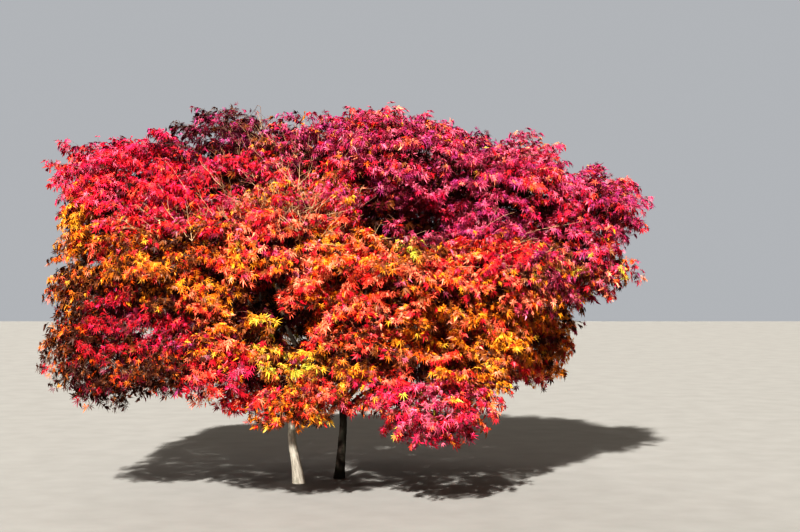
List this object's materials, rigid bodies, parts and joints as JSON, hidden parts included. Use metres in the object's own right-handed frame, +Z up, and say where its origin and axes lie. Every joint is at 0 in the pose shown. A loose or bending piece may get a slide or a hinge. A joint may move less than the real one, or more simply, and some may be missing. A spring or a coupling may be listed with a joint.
{
  "type": "japanese maple tree",
  "caption": "Wide, low ornamental maple in autumn leaf: slender stems from one root, arching boughs and a layered dome of red, coral and gold foliage masses.",
  "frame": {"origin": "centre of the flat cut under the pale main stem, at ground level", "axes": "+Z up, +X along the crown's widest spread, to the viewer's right from the front, +Y away from the front"},
  "size_m": [4.9642, 4.0242, 3.2985],
  "materials": {
    "bark_pale": "smooth pale grey-cream bark with fine cracks and lichen",
    "bark_dark": "smooth dark grey-brown bark",
    "foliage": "thin satin leaves in magenta, crimson, coral, orange and gold, in a different one for each spray"
  },
  "bodies": {
    "root": {"back_left": "foliage", "back_middle_left": "foliage", "back_middle_right": "foliage", "back_right": "foliage", "back_skirt": "foliage", "back_skirt_left": "foliage", "back_skirt_right": "foliage", "back_top": "foliage", "back_top_left": "foliage", "back_top_right": "foliage", "bough_back": "bark_dark", "bough_back_left": "bark_dark", "bough_back_low": "bark_dark", "bough_back_low_left": "bark_dark", "bough_back_low_right": "bark_dark", "bough_back_middle": "bark_dark", "bough_back_right": "bark_dark", "bough_back_top": "bark_dark", "bough_back_top_left": "bark_dark", "bough_back_top_right": "bark_dark", "bough_centre": "bark_dark", "bough_cross": "bark_dark", "bough_front": "bark_dark", "bough_front_left": "bark_dark", "bough_front_middle": "bark_dark", "bough_front_right": "bark_dark", "bough_left": "bark_dark", "bough_low_right": "bark_dark", "bough_right": "bark_dark", "bough_shoulder_left": "bark_dark", "bough_shoulder_right": "bark_dark", "bough_skirt_front_left": "bark_dark", "bough_skirt_left": "bark_dark", "bough_skirt_middle": "bark_dark", "bough_skirt_right": "bark_dark", "bough_top": "bark_dark", "bough_upper_left": "bark_dark", "bough_upper_right": "bark_dark", "front_left": "foliage", "front_middle": "foliage", "front_right": "foliage", "shoulder_left": "foliage", "shoulder_right": "foliage", "side_left": "foliage", "side_right": "foliage", "side_right_front": "foliage", "skirt_front": "foliage", "skirt_front_left": "foliage", "skirt_front_right": "foliage", "skirt_left": "foliage", "skirt_middle": "foliage", "skirt_right": "foliage", "skirt_side_right": "foliage", "stem_dark": "bark_dark", "stem_pale": "bark_pale", "top_far_left": "foliage", "top_left": "foliage", "top_middle": "foliage", "top_right": "foliage", "top_tip_left": "foliage"}
  },
  "joints": []
}
